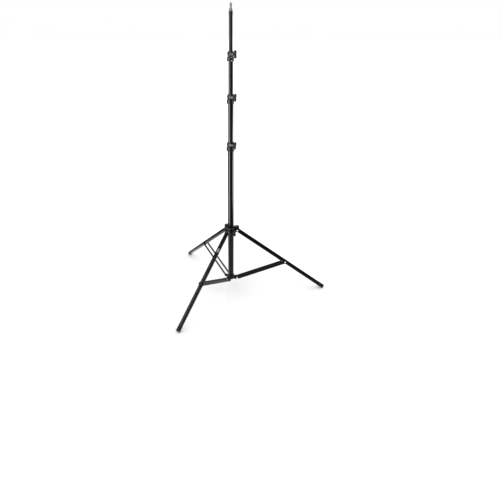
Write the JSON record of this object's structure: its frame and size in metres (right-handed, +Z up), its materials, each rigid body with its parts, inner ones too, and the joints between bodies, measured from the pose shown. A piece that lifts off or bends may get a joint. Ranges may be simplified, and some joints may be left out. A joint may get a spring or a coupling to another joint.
{
  "type": "light stand",
  "caption": "Telescopic tripod light stand: sliding risers with T-knob clamp collars, folding braced legs on a sliding collar, and a 16 mm stud on top.",
  "frame": {"origin": "on the floor, under the mast axis", "axes": "+Z up along the mast; +X along the right leg seen from the front; the other legs at 120 and 240 degrees; -Y faces the viewer"},
  "size_m": [0.9606, 1.105, 1.77],
  "materials": {
    "black_tube": "satin black coating on aluminium tube",
    "black_casting": "satin black coated casting",
    "black_plastic": "fine-grained moulded plastic",
    "nylon": "smooth dark nylon",
    "steel": "zinc-plated steel",
    "brass": "plain brass",
    "foot_rubber": "black rubber"
  },
  "bodies": {
    "column": {"column_tube": "black_tube", "column_plug": "nylon", "lock_3_collar": "black_plastic", "lock_3_bush": "nylon", "lock_3_shoe": "brass", "lock_3_screw": "steel", "brace_hub": "black_casting", "brace_hub_screw": "steel", "brace_hub_bolts": "steel"},
    "riser_3": {"riser_3_tube": "black_tube", "riser_3_bush": "nylon", "lock_2_collar": "black_plastic", "lock_2_bush": "nylon", "lock_2_shoe": "brass", "lock_2_screw": "steel"},
    "riser_2": {"riser_2_tube": "black_tube", "riser_2_bush": "nylon", "lock_1_collar": "black_plastic", "lock_1_bush": "nylon", "lock_1_shoe": "brass", "lock_1_screw": "steel"},
    "riser_1": {"riser_1_tube": "black_tube", "riser_1_bush": "nylon", "top_cap": "black_plastic", "spigot": "steel"},
    "knob_3": {"lock_3_knob": "black_plastic", "lock_3_stud": "steel"},
    "knob_2": {"lock_2_knob": "black_plastic", "lock_2_stud": "steel"},
    "knob_1": {"lock_1_knob": "black_plastic", "lock_1_stud": "steel"},
    "leg_collar": {"leg_collar": "black_casting", "leg_collar_bush": "nylon", "leg_collar_shoe": "brass", "leg_hinge_bolts": "steel"},
    "leg_collar_knob": {"leg_collar_knob": "black_plastic", "leg_collar_stud": "steel"},
    "leg_right": {"leg_right_tube": "black_tube", "leg_right_hinge_end": "black_plastic", "leg_right_saddle": "black_plastic", "leg_right_foot": "foot_rubber"},
    "brace_right": {"brace_right_strip_1": "black_tube", "brace_right_strip_2": "black_tube", "brace_right_bolt": "steel"},
    "leg_back": {"leg_back_tube": "black_tube", "leg_back_hinge_end": "black_plastic", "leg_back_saddle": "black_plastic", "leg_back_foot": "foot_rubber"},
    "brace_back": {"brace_back_strip_1": "black_tube", "brace_back_strip_2": "black_tube", "brace_back_bolt": "steel"},
    "leg_front": {"leg_front_tube": "black_tube", "leg_front_hinge_end": "black_plastic", "leg_front_saddle": "black_plastic", "leg_front_foot": "foot_rubber"},
    "brace_front": {"brace_front_strip_1": "black_tube", "brace_front_strip_2": "black_tube", "brace_front_bolt": "steel"}
  },
  "joints": [
    {"name": "riser_3_slide", "type": "slide", "parent": "column", "child": "riser_3", "axis": [0, 0, 1], "range_m": [-0.223, 0.4195]},
    {"name": "riser_2_slide", "type": "slide", "parent": "riser_3", "child": "riser_2", "axis": [0, 0, 1], "range_m": [-0.1785, 0.464]},
    {"name": "riser_1_slide", "type": "slide", "parent": "riser_2", "child": "riser_1", "axis": [0, 0, 1], "range_m": [-0.183, 0.4655]},
    {"name": "leg_collar_slide", "type": "slide", "parent": "column", "child": "leg_collar", "axis": [0, 0, 1], "range_m": [0, 0.38797]},
    {"name": "knob_3_turn", "type": "hinge", "parent": "column", "child": "knob_3", "pos_m": [0, 0, 0.989], "axis": [0.5299, -0.848, 0], "range_deg": [0, 360]},
    {"name": "knob_2_turn", "type": "hinge", "parent": "riser_3", "child": "knob_2", "pos_m": [0, 0, 1.2695], "axis": [0.5299, -0.848, 0], "range_deg": [0, 360]},
    {"name": "knob_1_turn", "type": "hinge", "parent": "riser_2", "child": "knob_1", "pos_m": [0, 0, 1.5055], "axis": [0.5299, -0.848, 0], "range_deg": [0, 360]},
    {"name": "leg_collar_knob_turn", "type": "hinge", "parent": "leg_collar", "child": "leg_collar_knob", "pos_m": [0, 0, 0.42], "axis": [0.5299, -0.848, 0], "range_deg": [0, 360]},
    {"name": "leg_right_fold", "type": "hinge", "parent": "leg_collar", "child": "leg_right", "pos_m": [0.042, 0, 0.429], "axis": [0, 1, 0], "range_deg": [0, 54.4]},
    {"name": "brace_right_fold", "type": "hinge", "parent": "column", "child": "brace_right", "pos_m": [0.042, 0, 0.084], "axis": [0, -1, 0], "range_deg": [0, 70.1]},
    {"name": "leg_back_fold", "type": "hinge", "parent": "leg_collar", "child": "leg_back", "pos_m": [-0.021, 0.03637, 0.429], "axis": [-0.866, -0.5, 0], "range_deg": [0, 54.4]},
    {"name": "brace_back_fold", "type": "hinge", "parent": "column", "child": "brace_back", "pos_m": [-0.021, 0.03637, 0.084], "axis": [0.866, 0.5, 0], "range_deg": [0, 70.1]},
    {"name": "leg_front_fold", "type": "hinge", "parent": "leg_collar", "child": "leg_front", "pos_m": [-0.021, -0.03637, 0.429], "axis": [0.866, -0.5, 0], "range_deg": [0, 54.4]},
    {"name": "brace_front_fold", "type": "hinge", "parent": "column", "child": "brace_front", "pos_m": [-0.021, -0.03637, 0.084], "axis": [-0.866, 0.5, 0], "range_deg": [0, 70.1]}
  ],
  "couplings": [
    {"joint": "leg_right_fold", "follows": "leg_collar_slide", "rad_per_m": 2.4459},
    {"joint": "brace_right_fold", "follows": "leg_collar_slide", "rad_per_m": 3.1509},
    {"joint": "leg_back_fold", "follows": "leg_collar_slide", "rad_per_m": 2.4459},
    {"joint": "brace_back_fold", "follows": "leg_collar_slide", "rad_per_m": 3.1509},
    {"joint": "leg_front_fold", "follows": "leg_collar_slide", "rad_per_m": 2.4459},
    {"joint": "brace_front_fold", "follows": "leg_collar_slide", "rad_per_m": 3.1509}
  ]
}
